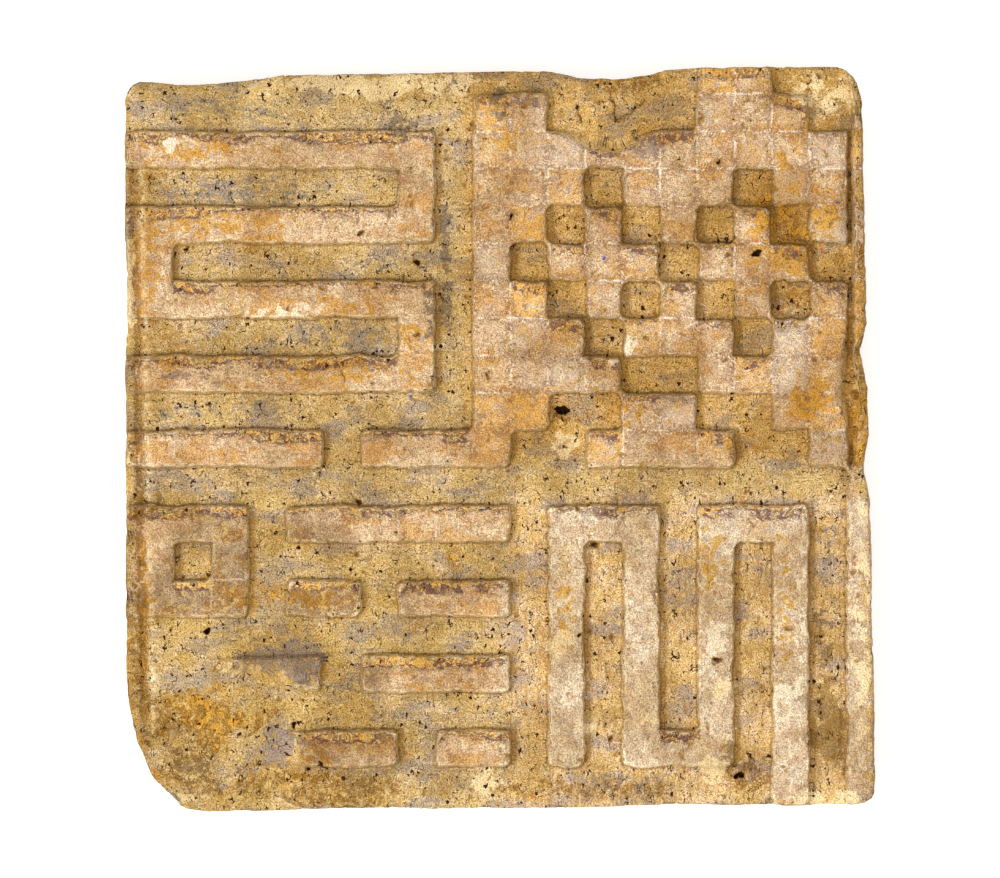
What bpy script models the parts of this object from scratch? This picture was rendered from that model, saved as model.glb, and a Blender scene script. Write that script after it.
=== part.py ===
"""A square tile of fired clay whose face is carved with rows of shallow strokes.

The tile lies on its flat bedding face, carved side up. Its origin is the middle
of that face: +X runs to the tile's right, +Y to its top edge, +Z out of the carving.
The carver ruled the face into small squares, and every stroke is one square wide.
Rows count down from the top, columns from the left, both from 0.
"""
from math import pi, sin, sqrt

import bpy
import bmesh
from mathutils import Vector, noise

# ---- Driving dimensions, in metres -------------------------------------------------
CELL = 0.0130               # one square of the carver's ruled grid
GRID = 19                   # squares along each side of the carved field
FIELD_LEFT = -0.1262        # left side of the ruled field
FIELD_TOP = 0.1204          # top side of the ruled field

THICKNESS = 0.0480          # from the bedding face up to the faces of the strokes
RELIEF = 0.0048             # from the faces of the strokes down to the cut ground
CHECK_DEPTH = 0.0058        # the small square checks are cut a little deeper
WALL = 0.0028               # a stroke's sloping side, measured across

# The slab was moulded by hand, so its four corners are not quite square (x, y).
TOP_LEFT = (-0.1307, 0.1265)
TOP_RIGHT = (0.1263, 0.1308)
BOTTOM_LEFT = (-0.1300, -0.1300)
BOTTOM_RIGHT = (0.1314, -0.1270)

# How far each worn corner reaches along the level edge and along the upright edge.
CORNER_WEAR = {
    ("left", "top"): (0.009, 0.008),
    ("right", "top"): (0.011, 0.013),
    ("right", "bottom"): (0.006, 0.007),
    ("left", "bottom"): (0.026, 0.050),
}

# Bites broken out of the edges: (place along the edge, length, depth).
BITES = {
    "top": ((-0.105, 0.052, 0.0025), (0.038, 0.044, 0.0030)),
    "right": ((0.033, 0.016, 0.0024), (-0.011, 0.018, 0.0020)),
    "bottom": ((-0.050, 0.060, 0.0006), (0.062, 0.050, 0.0005)),
    "left": ((0.052, 0.040, 0.0007),),
}

# Places where the face itself has worn or broken away: (x, y, radius, depth).
WORN_PLACES = (
    (-0.112, -0.112, 0.046, 0.0056),     # the lower left corner
    (-0.078, -0.088, 0.020, 0.0022),     # a scaled patch just inside it
    (0.040, 0.118, 0.019, 0.0052),       # a spall under the bite in the top edge
    (0.128, 0.020, 0.016, 0.0024),       # beside the notch in the right edge
    (0.118, 0.124, 0.017, 0.0020),       # the upper right corner
)

RIM_WIDTH = 0.0032          # strip along the edge that the outer arris falls across
RIM_FALL = 0.0010           # how far the face drops across that strip
ARRIS_INSET = 0.0008        # the face stops this far inside the widest outline
ARRIS_DROP = 0.0026         # the outline is at its widest this far below the face
SIDE_SWELL = 0.0006         # the moulded sides swell and dip by about this much
BACK_ARRIS = 0.0020         # worn lower arris, in height
BACK_INSET = 0.0016         # and in width

HAND_WOBBLE = 0.00040       # the knife wandered this far from the ruled lines
WOBBLE_LENGTH = 0.022       # over about this length
FACE_WAVE = 0.00022         # unevenness of the strokes' faces
GROUND_WAVE = 0.00045       # unevenness of the cut ground
WAVE_LENGTH = 0.014         # from one rise to the next

LAST = GRID - 1             # the bottom row, and the last column of the ruled field
MARGIN_ROW = -1             # the plain strip above the field
MARGIN_COLUMN = GRID        # the plain rim at its right
RIM_GROOVE_ENDS = 10        # above this row the rim falls inwards to a groove
RIM_GROOVE_DEPTH = 0.0034   # depth of that groove below the strokes' faces


# ---- The carved pattern ------------------------------------------------------------
def level_fret(strokes, top, left, right):
    """One band folded back and forth in long level strokes, top to bottom."""
    for n in range(4):
        row = top + 2 * n
        strokes.update((row, col) for col in range(left, right + 1))
        if n < 3:
            strokes.add((row + 1, right if n % 2 == 0 else left))


def upright_fret(strokes, left, top, bottom):
    """One band folded up and down in tall strokes, left to right."""
    for n in range(4):
        col = left + 2 * n
        strokes.update((row, col) for row in range(top, bottom + 1))
        if n < 3:
            strokes.add((top if n % 2 == 0 else bottom, col + 1))


def stroke_row(strokes, row, *runs):
    """Plain strokes end to end in one row, each from its first to its last column."""
    for first, last in runs:
        strokes.update((row, col) for col in range(first, last + 1))


def lozenge(row, col, reach):
    """The squares of a stepped lozenge, each touching the next by its corners."""
    return {
        (row + down, col + across)
        for down in range(-reach, reach + 1)
        for across in range(-reach, reach + 1)
        if abs(down) + abs(across) == reach
    }


def carved_pattern():
    """The squares left standing as strokes, and the checks cut down between them."""
    strokes = set()

    # Upper left: a level fret, and a broken stroke below it.
    level_fret(strokes, top=1, left=0, right=7)
    stroke_row(strokes, 9, (0, 4), (6, 8))

    # Upper right: short strokes, then a field of squares with two lozenges of checks
    # side by side. Its lower edge steps up like an arch over a small stepped gable.
    stroke_row(strokes, MARGIN_ROW, (15, 16))
    stroke_row(strokes, 0, (9, 10), (15, 17))
    for row in range(1, 7):
        stroke_row(strokes, row, (9, 18))
    stroke_row(strokes, 7, (9, 12), (15, 18))
    stroke_row(strokes, 8, (9, 10), (13, 14), (17, 18))
    stroke_row(strokes, 9, (9, 9), (12, 15), (18, 18))
    checks = lozenge(4, 12, reach=2) | lozenge(4, 16, reach=2)
    strokes -= checks

    # Lower left: a block with a check in its middle, then staggered rows of strokes.
    for row in (11, 12, 13):
        stroke_row(strokes, row, (0, 2))
    block_middle = {(12, 1)}
    strokes -= block_middle
    checks |= block_middle
    stroke_row(strokes, 11, (4, 9))
    stroke_row(strokes, 13, (4, 5), (7, 9))
    stroke_row(strokes, 15, (0, 4), (6, 9))
    stroke_row(strokes, 17, (2, 6), (8, 9))

    # Lower right: an upright fret whose last stroke runs off the bottom edge,
    # then a channel, and the plain rim beyond it.
    upright_fret(strokes, left=11, top=11, bottom=17)
    strokes.add((LAST, 17))
    strokes.update((row, MARGIN_COLUMN) for row in range(MARGIN_ROW, GRID))
    return strokes, checks


STROKES, CHECKS = carved_pattern()


# ---- The slab's outline ------------------------------------------------------------
def between(start, end, share):
    return start + (end - start) * share


def bitten(edge, along):
    """How deep the edge is broken away at a place along it."""
    depth = 0.0
    for middle, length, deepest in BITES[edge]:
        off = abs(along - middle) / (length / 2)
        if off < 1.0:
            depth += deepest * (1.0 - off ** 4) ** 2
    return depth


def top_edge(x):
    share = (x - TOP_LEFT[0]) / (TOP_RIGHT[0] - TOP_LEFT[0])
    return between(TOP_LEFT[1], TOP_RIGHT[1], share) - bitten("top", x)


def bottom_edge(x):
    share = (x - BOTTOM_LEFT[0]) / (BOTTOM_RIGHT[0] - BOTTOM_LEFT[0])
    return between(BOTTOM_LEFT[1], BOTTOM_RIGHT[1], share) + bitten("bottom", x)


def left_edge(y):
    share = (TOP_LEFT[1] - y) / (TOP_LEFT[1] - BOTTOM_LEFT[1])
    return between(TOP_LEFT[0], BOTTOM_LEFT[0], share) + bitten("left", y)


def right_edge(y):
    share = (TOP_RIGHT[1] - y) / (TOP_RIGHT[1] - BOTTOM_RIGHT[1])
    return between(TOP_RIGHT[0], BOTTOM_RIGHT[0], share) - bitten("right", y)


def round_corners(x, y):
    """Draws a place near a corner in, so that the square corner becomes part of an ellipse."""
    left, right = left_edge(y), right_edge(y)
    bottom, top = bottom_edge(x), top_edge(x)
    for (side, end), (across, along) in CORNER_WEAR.items():
        from_side = x - left if side == "left" else right - x
        from_end = y - bottom if end == "bottom" else top - y
        u = 1.0 - from_side / across
        v = 1.0 - from_end / along
        if u <= 0.0 or v <= 0.0:
            continue
        from_side = across * (1.0 - u * sqrt(1.0 - v * v / 2))
        from_end = along * (1.0 - v * sqrt(1.0 - u * u / 2))
        x = left + from_side if side == "left" else right - from_side
        y = bottom + from_end if end == "bottom" else top - from_end
    return x, y


# ---- The lattice of knife lines ----------------------------------------------------
def knife_lines(first, last, step_to):
    """The lines of one direction as (kind, place, square), from one edge to the other.

    Each square owns the two lines just inside its borders, so a stroke's sloping
    side is the strip between its last line and its neighbour's first.
    """
    lines = [("edge", 0.0, first), ("rim", 0.0, first)]
    for square in range(first, last):
        border = step_to(square + 1)
        lines.append(("knife", border - WALL / 2, square))
        lines.append(("knife", border + WALL / 2, square + 1))
    return lines + [("far rim", 0.0, last), ("far edge", 0.0, last)]


COLUMN_LINES = knife_lines(0, MARGIN_COLUMN, lambda col: col * CELL)
ROW_LINES = knife_lines(MARGIN_ROW, LAST, lambda row: row * CELL)


def place(column_line, row_line, inset):
    """Where a column line crosses a row line, with the outermost lines inset this far."""
    kind_x, along_x, _ = column_line
    kind_y, along_y, _ = row_line
    from_edge = {"edge": inset, "rim": RIM_WIDTH, "far rim": RIM_WIDTH, "far edge": inset}
    rough_x = {"edge": TOP_LEFT[0], "rim": TOP_LEFT[0], "far rim": TOP_RIGHT[0], "far edge": TOP_RIGHT[0]}
    x = rough_x.get(kind_x, FIELD_LEFT + along_x)
    y = FIELD_TOP - along_y
    if kind_y in ("edge", "rim"):
        y = top_edge(x) - from_edge[kind_y]
    elif kind_y in ("far rim", "far edge"):
        y = bottom_edge(x) + from_edge[kind_y]
    if kind_x in ("edge", "rim"):
        x = left_edge(y) + from_edge[kind_x]
    elif kind_x in ("far rim", "far edge"):
        x = right_edge(y) - from_edge[kind_x]
    if kind_x == "knife" and kind_y == "knife":
        wander = noise.noise_vector(Vector((x, y, 0.0)) / WOBBLE_LENGTH)
        x += HAND_WOBBLE * wander.x
        y += HAND_WOBBLE * wander.y
    return round_corners(x, y)


def cut_depth(row, col):
    """How far a square is cut down below the faces of the strokes."""
    if (row, col) in CHECKS:
        return CHECK_DEPTH
    return 0.0 if (row, col) in STROKES else RELIEF


def worn_depth(x, y):
    """How far wear has lowered the strokes' faces at a place."""
    depth = 0.0
    for centre_x, centre_y, radius, deepest in WORN_PLACES:
        off = ((x - centre_x) ** 2 + (y - centre_y) ** 2) / radius ** 2
        if off < 1.0:
            depth = max(depth, deepest * (1.0 - off ** 2))
    return depth


def face_height(column_line, row_line, x, y):
    """The height of the carved face at a crossing of the lattice."""
    row, col = row_line[2], column_line[2]
    depth = cut_depth(row, col)
    if col == MARGIN_COLUMN and column_line[0] == "knife" and row < RIM_GROOVE_ENDS:
        depth = RIM_GROOVE_DEPTH
    wave = FACE_WAVE if depth == 0.0 else GROUND_WAVE
    swell = noise.noise(Vector((x, y, 0.0)) / WAVE_LENGTH)
    height = THICKNESS - max(depth, worn_depth(x, y)) + wave * (swell - 1.0)
    if "edge" in column_line[0] or "edge" in row_line[0]:
        height -= RIM_FALL
    return height


# ---- The solid ---------------------------------------------------------------------
def carved_face(bm):
    """The face as a lattice of quads, and the crossings around it in order."""
    grid = []
    for row_line in ROW_LINES:
        line = []
        for column_line in COLUMN_LINES:
            x, y = place(column_line, row_line, ARRIS_INSET)
            line.append(bm.verts.new((x, y, face_height(column_line, row_line, x, y))))
        grid.append(line)
    for upper, lower in zip(grid, grid[1:]):
        for n in range(len(upper) - 1):
            bm.faces.new((lower[n], lower[n + 1], upper[n + 1], upper[n]))

    last_row, last_col = len(ROW_LINES) - 1, len(COLUMN_LINES) - 1
    around = [(last_row, n) for n in range(last_col)]
    around += [(last_row - n, last_col) for n in range(last_row)]
    around += [(0, last_col - n) for n in range(last_col)]
    around += [(n, 0) for n in range(last_row)]
    return grid, around


def side_ring(bm, crossings, inset, height_at):
    """One ring of points around the slab, under the crossings at the face's edge."""
    ring = []
    for n, (row, col) in enumerate(crossings):
        x, y = place(COLUMN_LINES[col], ROW_LINES[row], inset)
        ring.append(bm.verts.new((x, y, height_at(n))))
    return ring


def skin(bm, upper, lower):
    """The strip of quads between two rings, facing out."""
    for n in range(len(upper)):
        m = (n + 1) % len(upper)
        bm.faces.new((upper[n], lower[n], lower[m], upper[m]))


def slab_sides(bm, grid, crossings):
    """The moulded sides, from the face's arris down to the flat bedding face."""
    rim = [grid[row][col] for row, col in crossings]
    top = side_ring(bm, crossings, 0.0, lambda n: rim[n].co.z - ARRIS_DROP)
    middle = side_ring(bm, crossings, 0.0, lambda n: THICKNESS / 2)
    for n, vert in enumerate(middle):
        turn = 2 * pi * n / len(middle)
        inward = Vector((-vert.co.x, -vert.co.y, 0.0)).normalized()
        vert.co += inward * SIDE_SWELL * (1.0 + sin(7 * turn) * sin(3 * turn))
    low = side_ring(bm, crossings, SIDE_SWELL, lambda n: BACK_ARRIS)
    back = side_ring(bm, crossings, BACK_INSET, lambda n: 0.0)
    for upper, lower in zip((rim, top, middle, low), (top, middle, low, back)):
        skin(bm, upper, lower)
    bedding_face = bm.faces.new(list(reversed(back)))
    bmesh.ops.poke(bm, faces=[bedding_face])


def fired_clay():
    material = bpy.data.materials.new("fired_clay")
    material.use_nodes = True
    shader = material.node_tree.nodes["Principled BSDF"]
    shader.inputs["Base Color"].default_value = (0.56, 0.37, 0.17, 1.0)
    shader.inputs["Roughness"].default_value = 0.9
    shader.inputs["Metallic"].default_value = 0.0
    return material


def centre_on_base(bm):
    """Moves the slab so that the middle of its box stands over the origin."""
    xs = [vert.co.x for vert in bm.verts]
    ys = [vert.co.y for vert in bm.verts]
    middle = Vector((min(xs) + max(xs), min(ys) + max(ys), 0.0)) / 2
    bmesh.ops.translate(bm, verts=list(bm.verts), vec=-middle)


def make_tile():
    bm = bmesh.new()
    grid, crossings = carved_face(bm)
    slab_sides(bm, grid, crossings)
    centre_on_base(bm)
    mesh = bpy.data.meshes.new("tile")
    bm.to_mesh(mesh)
    bm.free()
    mesh.materials.append(fired_clay())
    tile = bpy.data.objects.new("tile", mesh)
    bpy.context.scene.collection.objects.link(tile)
    return tile


for old in list(bpy.data.objects):
    bpy.data.objects.remove(old)
make_tile()
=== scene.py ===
"""The looks of a carved clay tile: worn slip, cut ground, pores, chips and the studio."""

import bpy
import numpy as np
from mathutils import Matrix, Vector
from mathutils.bvhtree import BVHTree


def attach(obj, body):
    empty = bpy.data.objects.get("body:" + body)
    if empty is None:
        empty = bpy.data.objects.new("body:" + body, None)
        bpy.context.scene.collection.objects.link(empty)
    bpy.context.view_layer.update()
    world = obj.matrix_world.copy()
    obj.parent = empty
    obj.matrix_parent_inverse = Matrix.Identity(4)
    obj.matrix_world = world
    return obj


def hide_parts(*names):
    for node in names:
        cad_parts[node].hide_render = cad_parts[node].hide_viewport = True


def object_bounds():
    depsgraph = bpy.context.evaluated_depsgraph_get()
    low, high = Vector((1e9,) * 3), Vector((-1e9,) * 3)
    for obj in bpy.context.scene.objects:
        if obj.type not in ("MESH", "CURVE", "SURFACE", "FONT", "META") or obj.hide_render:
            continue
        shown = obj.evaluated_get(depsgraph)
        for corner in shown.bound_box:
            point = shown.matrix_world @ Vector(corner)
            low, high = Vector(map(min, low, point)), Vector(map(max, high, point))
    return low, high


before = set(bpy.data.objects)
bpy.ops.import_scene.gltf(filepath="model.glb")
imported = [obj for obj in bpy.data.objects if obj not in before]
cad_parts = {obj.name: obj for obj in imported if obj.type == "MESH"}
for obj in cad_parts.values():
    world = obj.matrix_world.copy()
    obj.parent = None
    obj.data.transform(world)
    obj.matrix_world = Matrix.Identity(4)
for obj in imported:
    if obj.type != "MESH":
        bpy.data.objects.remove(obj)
cad_low, cad_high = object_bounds()


# ========================================
# The slab. Buff clay, tempered with grit and chopped straw, was pressed by hand into an
# open mould and struck off level, so its sides are a little out of square. Every ring of
# the fine grid laid over its face is the slab's own outline, drawn in towards the middle.
# ========================================
MM = 0.001
STEPS = 620                            # grid steps from side to side of the face
SPACING = (cad_high.x - cad_low.x) / STEPS
OUTLINE_HEIGHT = 38 * MM               # the moulded sides are at their widest from here up
OUTSIDE = 0.3                          # clear of the slab on every side

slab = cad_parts["tile"]
solid = BVHTree.FromPolygons(
    [v.co.copy() for v in slab.data.vertices],
    [tuple(p.vertices) for p in slab.data.polygons],
)


def side_of_slab(across, up, height):
    """Where the slab's side stands at a height, seen from the middle in one direction."""
    away = Vector((across, up, 0.0)).normalized()
    start = away * OUTSIDE + Vector((0.0, 0.0, height))
    return solid.ray_cast(start, -away)[0].xy


def square_outline(steps):
    """Points around the square from -1 to 1, counter-clockwise from its lower left corner."""
    along = np.arange(steps) * 2.0 / steps - 1.0
    one = np.ones(steps)
    across = np.concatenate([along, one, -along, -one])
    up = np.concatenate([-one, along, one, -along])
    return across, up


rim_across, rim_up = square_outline(STEPS)
outline = np.array([side_of_slab(a, b, OUTLINE_HEIGHT) for a, b in zip(rim_across, rim_up)])


def way_round(across, up):
    """How far round the square a point lies, from 0 to 4, from the lower left corner."""
    reach = np.maximum(np.maximum(np.abs(across), np.abs(up)), 1e-9)
    a, b = across / reach, up / reach
    return np.select(
        [(b == -1) & (a < 1), (a == 1) & (b < 1), (b == 1) & (a > -1)],
        [(a + 1) / 2, 1 + (b + 1) / 2, 2 + (1 - a) / 2],
        3 + (1 - b) / 2,
    )


grid_up, grid_across = np.mgrid[0:STEPS + 1, 0:STEPS + 1] * 2.0 / STEPS - 1.0
ring = np.maximum(np.abs(grid_across), np.abs(grid_up))        # 0 in the middle, 1 at the rim
turn = way_round(grid_across, grid_up)
around = np.arange(4 * STEPS + 1) / STEPS
face_x = ring * np.interp(turn, around, np.append(outline[:, 0], outline[0, 0]))
face_y = ring * np.interp(turn, around, np.append(outline[:, 1], outline[0, 1]))
from_rim = (1.0 - ring) * (cad_high.x - cad_low.x) / 2

# ========================================
# The carving. Strokes are left standing and the ground between them is cut back with a
# flat knife. The knife wandered, the arrises have crumbled, and the floors keep its drag
# marks: level ones in most of the field, upright ones in the lower right quarter.
# ========================================
KNIFE_WANDER = 0.70 * MM
CRUMBLE_WANDER = 0.45 * MM
ARRIS_SOFTNESS = 0.35 * MM
RIM_CLEAR = 4.0 * MM                   # the wander dies away this near the slab's edge
JUST_INSIDE = 0.12 * MM
RELIEF = 4.8 * MM                      # of the strokes above the cut ground
FLOOR_DRAG, FLOOR_SCOOP = 0.20 * MM, 0.30 * MM
FACE_DRAG, FACE_SCOOP = 0.07 * MM, 0.10 * MM
FINE_RELIEF = 0.11 * MM
CRUMBLE_DEPTH = 1.1 * MM

CELLS = 64                             # along a side of the block of chance, which repeats
CHANCE = np.random.default_rng(19).uniform(-1.0, 1.0, (CELLS, CELLS, CELLS)).astype(np.float32)


def one_noise(x, y, z):
    """Smooth chance values between -1 and 1, one lump to each unit of x, y and z."""
    corner = [np.floor(c).astype(int) for c in (x, y, z)]
    part = [c - n for c, n in zip((x, y, z), corner)]
    part = [p * p * (3 - 2 * p) for p in part]
    total = 0.0
    for dx in (0, 1):
        for dy in (0, 1):
            for dz in (0, 1):
                weight = (part[0] if dx else 1 - part[0]) * (part[1] if dy else 1 - part[1])
                weight = weight * (part[2] if dz else 1 - part[2])
                at = [(n + d) % CELLS for n, d in zip(corner, (dx, dy, dz))]
                total = total + weight * CHANCE[tuple(at)]
    return total


def lumps(x, y, z, size, layers=3, start=0.0):
    """Uneven clay: lumps of a size in metres, with finer and weaker ones on them."""
    total, weight = 0.0, 0.0
    for n in range(layers):
        finer, weaker = 2.03 ** n / size, 0.55 ** n
        off = start + 11.7 * n
        total = total + weaker * one_noise(x * finer + off, y * finer - off, z * finer + 2 * off)
        weight += weaker
    return total / weight


def ramp(values, low, high):
    """A smooth step from 0 at low to 1 at high."""
    t = np.clip((values - low) / (high - low), 0.0, 1.0)
    return t * t * (3 - 2 * t)


def softened(field, width):
    """The field spread evenly over about this width in metres, on the face's grid."""
    reach = max(int(round(3 * width / SPACING)), 1)
    weights = np.exp(-0.5 * (np.arange(-reach, reach + 1) * SPACING / width) ** 2)
    weights /= weights.sum()
    for axis in (0, 1):
        pad = [(reach, reach) if n == axis else (0, 0) for n in (0, 1)]
        wide = np.pad(field, pad, mode="edge")
        size = field.shape[axis]
        field = sum(w * np.take(wide, np.arange(n, n + size), axis) for n, w in enumerate(weights))
    return field


calm = ramp(from_rim, 0.0, RIM_CLEAR)
flat = np.zeros_like(face_x)


def over_face(size, layers, start, across=1.0, up=1.0):
    """Uneven clay over the whole face, drawn out across it or up it by a share under 1."""
    return lumps(face_x * across, face_y * up, flat, size, layers, start)


wander_x = KNIFE_WANDER * over_face(9 * MM, 2, 3.1)
wander_y = KNIFE_WANDER * over_face(9 * MM, 2, 8.4)
wander_x += CRUMBLE_WANDER * over_face(3.0 * MM, 1, 5.9)
wander_y += CRUMBLE_WANDER * over_face(3.0 * MM, 1, 1.2)
pull_in = 1.0 - JUST_INSIDE / np.maximum(np.hypot(face_x, face_y), 1 * MM)
look_x = (face_x + wander_x * calm) * pull_in
look_y = (face_y + wander_y * calm) * pull_in

DOWN = Vector((0.0, 0.0, -1.0))


def height_of_solid(x, y):
    return solid.ray_cast(Vector((x, y, OUTSIDE)), DOWN)[0].z


look_places = zip(look_x.ravel().tolist(), look_y.ravel().tolist())
height = np.array([height_of_solid(x, y) for x, y in look_places]).reshape(face_x.shape)

# Below the bite in the upper edge the break runs down in one worn slope.
SLOPE = (34, 104, 17, 9)               # x, y, half width, half height in mm
SLOPE_SOFTNESS = 1.6 * MM
on_slope = np.hypot((face_x / MM - SLOPE[0]) / SLOPE[2], (face_y / MM - SLOPE[1]) / SLOPE[3])
on_slope = ramp(1.2 - on_slope, 0.0, 0.4)
height += (softened(height, SLOPE_SOFTNESS) - height) * on_slope

FACE_PERCENTILE = 92                   # a height that only the strokes' faces reach
face_level = float(np.percentile(height, FACE_PERCENTILE))
ground_level = face_level - RELIEF
standing = np.clip((height - ground_level) / RELIEF, 0.0, 1.0)      # 1 on a stroke, 0 on the ground
cut = ramp(softened(standing, ARRIS_SOFTNESS), 0.30, 0.74)
height += (cut - standing) * RELIEF
standing = cut

# Near an arris, on the stroke's side of it; and near the upper arris alone, which scales first.
near_arris = standing * (1.0 - softened(standing, 1.5 * MM)) * 2.0
NARROW_STRIP = int(round(1.1 * MM / SPACING))
WIDE_STRIP = int(round(4.2 * MM / SPACING))
soft_standing = softened(standing, 0.5 * MM)
narrow = np.clip(standing - np.roll(soft_standing, -NARROW_STRIP, axis=0), 0.0, 1.0)
wide = np.clip(standing - np.roll(soft_standing, -WIDE_STRIP, axis=0), 0.0, 1.0)
scaling = ramp(over_face(8 * MM, 4, 27.0, across=0.6), -0.35, 0.55)
near_upper_arris = narrow + (wide - narrow) * scaling

# On the ground: painted shadow right of a stroke, as cast by a light from the left; painted shade
# along the foot of its upper wall; and round every wall's foot a dark line, partly dirt, partly
# painted shade in the crease.
PAINTED_SHADOW_STRIP = int(round(2.4 * MM / SPACING))
FOOT_STRIP = int(round(1.0 * MM / SPACING))
painted_shadow_right = np.clip(np.roll(softened(standing, 0.9 * MM), PAINTED_SHADOW_STRIP, axis=1) - standing, 0.0, 1.0)
painted_shade_above_stroke = np.clip(np.roll(soft_standing, FOOT_STRIP, axis=0) - standing, 0.0, 1.0)
wall_foot = np.clip(softened(standing, 0.55 * MM) - standing, 0.0, 1.0) * 3.0

upright_cuts = ramp(face_x, -2 * MM, 6 * MM) * ramp(-face_y, 16 * MM, 24 * MM)
drag_level = over_face(1.7 * MM, 3, 2.2, across=0.10)
drag_upright = over_face(1.7 * MM, 3, 6.5, up=0.10)
drag = drag_level * (1.0 - upright_cuts) + drag_upright * upright_cuts
scoop = over_face(12 * MM, 2, 4.4)
floor_relief = FLOOR_DRAG * drag + FLOOR_SCOOP * scoop
face_relief = FACE_SCOOP * scoop + FACE_DRAG * drag
height += floor_relief * (1.0 - standing) + face_relief * standing
height += FINE_RELIEF * over_face(2.4 * MM, 3, 9.3)

crumbled = ramp(over_face(5.5 * MM, 3, 7.7), 0.05, 0.50)
height -= CRUMBLE_DEPTH * crumbled * ramp(near_arris, 0.25, 0.95)

# ========================================
# Breaks. The upper edge took knocks: shallow scars where flakes sprang off, and cracks round
# the pieces that stayed. All are in mm from the middle of the face.
# ========================================
SCARS = (                              # x, y, half width, half height, depth
    (36, 126, 8, 6, 2.2), (52, 126, 5, 4, 1.6), (-34, 3, 9, 4, 0.5),
    (-92, -98, 16, 10, 1.2), (-84, -71, 12, 6, 0.8), (-118, -118, 12, 9, 2.0), (96, 126, 6, 4, 0.9),
    (-61, 30, 6, 5, 0.9), (48, 22, 6, 7, 0.6), (118, 9, 8, 4, 0.8), (-108, 122, 14, 5, 1.2),
)
CRACKS = (                             # each a run of x, y points, then its width and depth
    (((38.0, 121.5), (39.7, 115.0), (40.8, 111.5), (44.8, 113.3), (49.0, 116.0), (50.1, 118.1)),
     0.45, 0.9),
    (((27.0, 116.5), (28.4, 110.1)), 0.40, 0.8),
    (((42.5, 90.0), (42.6, 69.5)), 0.35, 0.6),
    (((-58.5, 30.5), (-55.0, 24.0), (-54.2, 20.5)), 0.40, 0.7),
)
unbroken = height.copy()
ragged_scar = 0.45 * over_face(5 * MM, 3, 35.0)
rough_scar = 0.85 + 0.30 * over_face(2 * MM, 2, 36.0)
for x, y, wide, high, deep in SCARS:
    off = np.hypot((face_x / MM - x) / wide, (face_y / MM - y) / high) + ragged_scar
    height -= deep * MM * ramp(1.1 - off, 0.0, 0.45) * rough_scar
crack_depth = np.zeros_like(face_x)
CRACK_WANDER = 1.3 * MM
shake_x = CRACK_WANDER * over_face(1.9 * MM, 3, 37.0)
shake_y = CRACK_WANDER * over_face(1.9 * MM, 3, 38.0)
for run, wide, deep in CRACKS:
    for (x0, y0), (x1, y1) in zip(run[:-1], run[1:]):
        along = np.array([x1 - x0, y1 - y0]) * MM
        off_x, off_y = face_x + shake_x - x0 * MM, face_y + shake_y - y0 * MM
        share = np.clip((off_x * along[0] + off_y * along[1]) / (along @ along), 0.0, 1.0)
        off = np.hypot(off_x - share * along[0], off_y - share * along[1])
        opened = deep * MM * (1.0 - ramp(off, 0.1 * wide * MM, 0.9 * wide * MM))
        crack_depth = np.maximum(crack_depth, opened)
height -= crack_depth
height_lost = unbroken - height

# ========================================
# The margins. Down the left and right edges a groove was scored to frame the field, and
# beside the left one the clay has rubbed to a pale line.
# ========================================
MARGIN_GROOVES = (                     # lower x, y, upper x, y, half width, depth, in mm
    (-123.6, -104, -128.0, 100, 2.1, 1.5), (119.6, -118, 119.6, 112, 1.4, 0.6),
)
RIDGE_BESIDE = 2.9                     # mm from the middle of the left groove to its pale ridge
RIDGE_HALF_WIDTH = 0.95
margin_groove = np.zeros_like(face_x)
for low_x, low_y, high_x, high_y, half, deep in MARGIN_GROOVES:
    middle = low_x + (high_x - low_x) * (face_y / MM - low_y) / (high_y - low_y)
    aside = (face_x + 0.8 * wander_x) / MM - middle
    within = ramp(face_y / MM, low_y, low_y + 8) * ramp(-face_y / MM, -high_y, 8 - high_y)
    cut_groove = ramp(1.0 - np.abs(aside) / half, 0.0, 0.8) * within
    height -= deep * MM * cut_groove
    margin_groove = np.maximum(margin_groove, cut_groove * min(deep, 1.0))
    if low_x < 0:
        margin_ridge = ramp(1.0 - np.abs(aside - RIDGE_BESIDE) / RIDGE_HALF_WIDTH, 0.0, 0.7) * within

# ========================================
# The layout. Before cutting, the maker ruled the face into squares with a point. Where the
# checks crowd together the rulings still show, and each square stands at its own height.
# ========================================
SQUARE = 13.0 * MM                     # pitch of the ruling
RULING_LEFT = -126.45 * MM             # first upright ruling
RULING_TOP = 119.98 * MM               # first level ruling
RULING_HALF_WIDTH = 0.55 * MM
RULING_DEPTH = 0.16 * MM
SQUARE_UNEVEN = 0.16 * MM              # how much one square stands above or below the next

checked = ramp(face_x, -14 * MM, -11 * MM) * ramp(face_y, -9 * MM, -6 * MM)
ruled_x = (face_x + 0.5 * wander_x - RULING_LEFT) / SQUARE
ruled_y = (RULING_TOP - face_y - 0.5 * wander_y) / SQUARE
to_ruling_x = np.abs(ruled_x - np.round(ruled_x)) * SQUARE
to_ruling_y = np.abs(ruled_y - np.round(ruled_y)) * SQUARE
ruling = 1.0 - ramp(np.minimum(to_ruling_x, to_ruling_y), 0.2 * RULING_HALF_WIDTH, RULING_HALF_WIDTH)
pressed = 0.25 + 0.75 * checked * ramp(over_face(16 * MM, 2, 25.0), -0.35, 0.15)
height -= RULING_DEPTH * ruling * pressed * standing
column, row = (np.floor(ruled).astype(int) % CELLS for ruled in (ruled_x, ruled_y))
square_level = CHANCE[column, row, 7]
height += SQUARE_UNEVEN * softened(square_level, 0.5 * MM) * checked * standing * calm

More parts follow.
